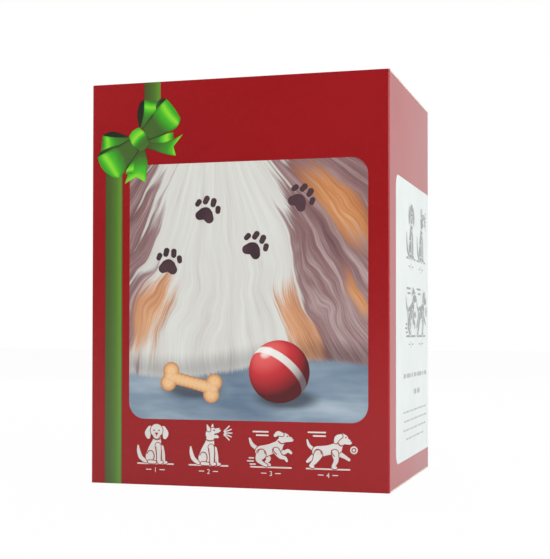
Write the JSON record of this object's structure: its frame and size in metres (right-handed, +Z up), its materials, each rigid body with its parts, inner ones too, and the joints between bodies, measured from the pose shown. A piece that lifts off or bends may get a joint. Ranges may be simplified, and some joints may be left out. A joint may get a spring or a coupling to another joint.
{
  "type": "robot dog toy",
  "caption": "Printed tuck-top gift carton holding a battery-driven plush robot dog on fitted cards; the lid and flaps fold, and the legs, head and tail move.",
  "frame": {"origin": "centre of the carton's underside, on the surface it stands on", "axes": "+Z up the carton's height, -Y out of the printed front, +X towards the carton's right side seen from the front; the puppy inside faces -Y"},
  "size_m": [0.205, 0.16, 0.27],
  "materials": {
    "printed_board": "gloss laminate over print",
    "plain_card": "uncoated greyboard",
    "paper": "matt",
    "chassis_plastic": "fine moulded texture",
    "gear_plastic": "smooth acetal",
    "leg_plastic": "fine moulded texture",
    "steel": "bright drawn",
    "motor_can": "zinc plated",
    "contact_metal": "nickel plated",
    "cell_wrap": "gloss sleeve",
    "circuit_laminate": "solder mask",
    "component_black": "resin",
    "speaker_black": "paper cone and steel basket",
    "lead_jacket": "soft PVC",
    "switch_black": "moulded",
    "plush_cream": "short pile plush",
    "plush_tan": "short pile plush",
    "eye_gloss": "polished",
    "nose_gloss": "polished",
    "collar_web": "woven web",
    "bow_satin": "satin"
  },
  "bodies": {
    "carton": {"carton_sleeve": "printed_board", "bottom_panel": "printed_board", "bottom_dust_flaps": "printed_board", "insert_tray": "plain_card", "support_cards": "plain_card", "instruction_leaflet": "paper", "chassis_left": "chassis_plastic", "chassis_right": "chassis_plastic", "chassis_screws": "steel", "battery_tray": "chassis_plastic", "battery_cells": "cell_wrap", "battery_contacts": "contact_metal", "power_switch": "switch_black", "speaker": "speaker_black", "internal_leads": "lead_jacket", "circuit_board": "circuit_laminate", "board_components": "component_black", "gearbox_plate": "gear_plastic", "motor": "motor_can", "gear_axles": "steel", "hip_axles": "steel", "axle_caps": "gear_plastic", "neck_yoke": "chassis_plastic", "pivot_pins": "steel", "tail_yoke": "chassis_plastic", "collar": "collar_web", "bow_tie": "bow_satin", "body_coat": "plush_cream"},
    "lid": {"lid_panel": "printed_board"},
    "lid_tuck": {"lid_tuck_flap": "printed_board"},
    "left_dust_flap": {"dust_flap_left": "printed_board"},
    "right_dust_flap": {"dust_flap_right": "printed_board"},
    "belly_door": {"battery_door": "chassis_plastic", "battery_door_screw": "steel"},
    "switch_knob": {"switch_slider": "switch_black"},
    "crank": {"crankshaft": "steel", "crank_gear": "gear_plastic", "crank_discs": "gear_plastic"},
    "second_gear_body": {"second_gear": "gear_plastic"},
    "first_gear_body": {"first_gear": "gear_plastic"},
    "pinion_body": {"motor_pinion": "gear_plastic"},
    "front_left_leg": {"leg_core_front_left": "leg_plastic", "leg_plush_front_left": "plush_cream"},
    "front_right_leg": {"leg_core_front_right": "leg_plastic", "leg_plush_front_right": "plush_cream"},
    "rear_left_leg": {"leg_core_rear_left": "leg_plastic", "leg_plush_rear_left": "plush_cream"},
    "rear_right_leg": {"leg_core_rear_right": "leg_plastic", "leg_plush_rear_right": "plush_cream"},
    "left_link": {"link_bar_left": "leg_plastic"},
    "right_link": {"link_bar_right": "leg_plastic"},
    "head": {"head_core": "leg_plastic", "head_plush": "plush_cream", "eyes": "eye_gloss", "ears": "plush_tan", "nose": "nose_gloss"},
    "tail": {"tail_core": "leg_plastic", "tail_plush": "plush_cream"}
  },
  "joints": [
    {"name": "lid_fold", "type": "hinge", "parent": "carton", "child": "lid", "pos_m": [0, 0.08, 0.269], "axis": [-1, 0, 0], "range_deg": [0, 120]},
    {"name": "tuck_fold", "type": "hinge", "parent": "lid", "child": "lid_tuck", "pos_m": [0, -0.0769, 0.269], "axis": [1, 0, 0], "range_deg": [0, 45]},
    {"name": "left_dust_fold", "type": "hinge", "parent": "carton", "child": "left_dust_flap", "pos_m": [-0.1014, 0, 0.2679], "axis": [0, 1, 0], "range_deg": [0, 80]},
    {"name": "right_dust_fold", "type": "hinge", "parent": "carton", "child": "right_dust_flap", "pos_m": [0.1014, 0, 0.2679], "axis": [0, -1, 0], "range_deg": [0, 80]},
    {"name": "belly_door_hinge", "type": "hinge", "parent": "carton", "child": "belly_door", "pos_m": [0, 0.0545, 0.08], "axis": [1, 0, 0], "range_deg": [0, 80]},
    {"name": "power_slide", "type": "slide", "parent": "carton", "child": "switch_knob", "axis": [1, 0, 0], "range_m": [0, 0.004]},
    {"name": "crank_spin", "type": "hinge", "parent": "carton", "child": "crank", "pos_m": [0, -0.026, 0.118], "axis": [1, 0, 0], "continuous": true},
    {"name": "second_gear_spin", "type": "hinge", "parent": "carton", "child": "second_gear_body", "pos_m": [0, -0.01001, 0.11744], "axis": [1, 0, 0], "continuous": true},
    {"name": "first_gear_spin", "type": "hinge", "parent": "carton", "child": "first_gear_body", "pos_m": [0, 0.00441, 0.11264], "axis": [1, 0, 0], "continuous": true},
    {"name": "motor_spin", "type": "hinge", "parent": "carton", "child": "pinion_body", "pos_m": [0, 0.02, 0.112], "axis": [1, 0, 0], "continuous": true},
    {"name": "front_left_leg_swing", "type": "hinge", "parent": "carton", "child": "front_left_leg", "pos_m": [0, -0.026, 0.1], "axis": [1, 0, 0], "range_deg": [-14, 14]},
    {"name": "front_right_leg_swing", "type": "hinge", "parent": "carton", "child": "front_right_leg", "pos_m": [0, -0.026, 0.1], "axis": [1, 0, 0], "range_deg": [-14, 14]},
    {"name": "rear_left_leg_swing", "type": "hinge", "parent": "carton", "child": "rear_left_leg", "pos_m": [0, 0.04, 0.1], "axis": [1, 0, 0], "range_deg": [-14, 14]},
    {"name": "rear_right_leg_swing", "type": "hinge", "parent": "carton", "child": "rear_right_leg", "pos_m": [0, 0.04, 0.1], "axis": [1, 0, 0], "range_deg": [-14, 14]},
    {"name": "left_link_pivot", "type": "hinge", "parent": "front_left_leg", "child": "left_link", "pos_m": [0, -0.026, 0.086], "axis": [1, 0, 0], "range_deg": [-14, 14]},
    {"name": "right_link_pivot", "type": "hinge", "parent": "front_right_leg", "child": "right_link", "pos_m": [0, -0.026, 0.086], "axis": [1, 0, 0], "range_deg": [-14, 14]},
    {"name": "head_nod", "type": "hinge", "parent": "carton", "child": "head", "pos_m": [0, -0.034, 0.156], "axis": [1, 0, 0], "range_deg": [-10, 10]},
    {"name": "tail_wag", "type": "hinge", "parent": "carton", "child": "tail", "pos_m": [0, 0.057, 0.142], "axis": [0, 1, 0], "range_deg": [-25, 25]}
  ],
  "couplings": [
    {"joint": "second_gear_spin", "follows": "crank_spin", "ratio": -3},
    {"joint": "first_gear_spin", "follows": "crank_spin", "ratio": 8.4},
    {"joint": "motor_spin", "follows": "crank_spin", "ratio": -28},
    {"joint": "front_right_leg_swing", "follows": "front_left_leg_swing", "ratio": -1},
    {"joint": "rear_left_leg_swing", "follows": "front_left_leg_swing", "ratio": 1},
    {"joint": "rear_right_leg_swing", "follows": "front_left_leg_swing", "ratio": -1},
    {"joint": "left_link_pivot", "follows": "front_left_leg_swing", "ratio": -1},
    {"joint": "right_link_pivot", "follows": "front_left_leg_swing", "ratio": 1}
  ]
}
